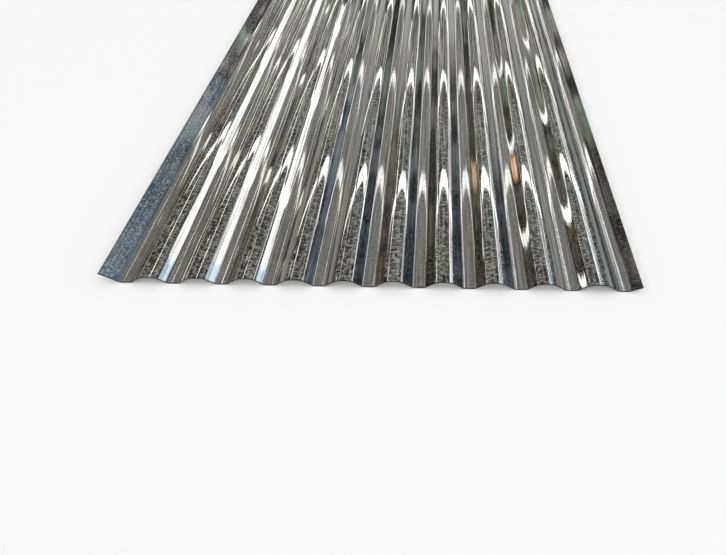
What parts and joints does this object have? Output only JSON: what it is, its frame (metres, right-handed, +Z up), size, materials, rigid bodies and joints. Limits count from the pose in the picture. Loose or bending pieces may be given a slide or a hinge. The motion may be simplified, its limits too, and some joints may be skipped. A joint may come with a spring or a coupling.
{
  "type": "steel roofing sheet",
  "caption": "Long corrugated roofing sheet of bright galvanised steel, with shallow rounded waves and plain up-turned side edges.",
  "frame": {"origin": "on the floor under the middle of the sheet", "axes": "+Y along the corrugations, +X across them towards the lower of the two side edges, +Z up"},
  "size_m": [0.8242, 2.44, 0.0186],
  "materials": {
    "galvanised_steel": "bright spangled zinc, glossy"
  },
  "bodies": {
    "root": {"roofing_sheet": "galvanised_steel"}
  },
  "joints": []
}
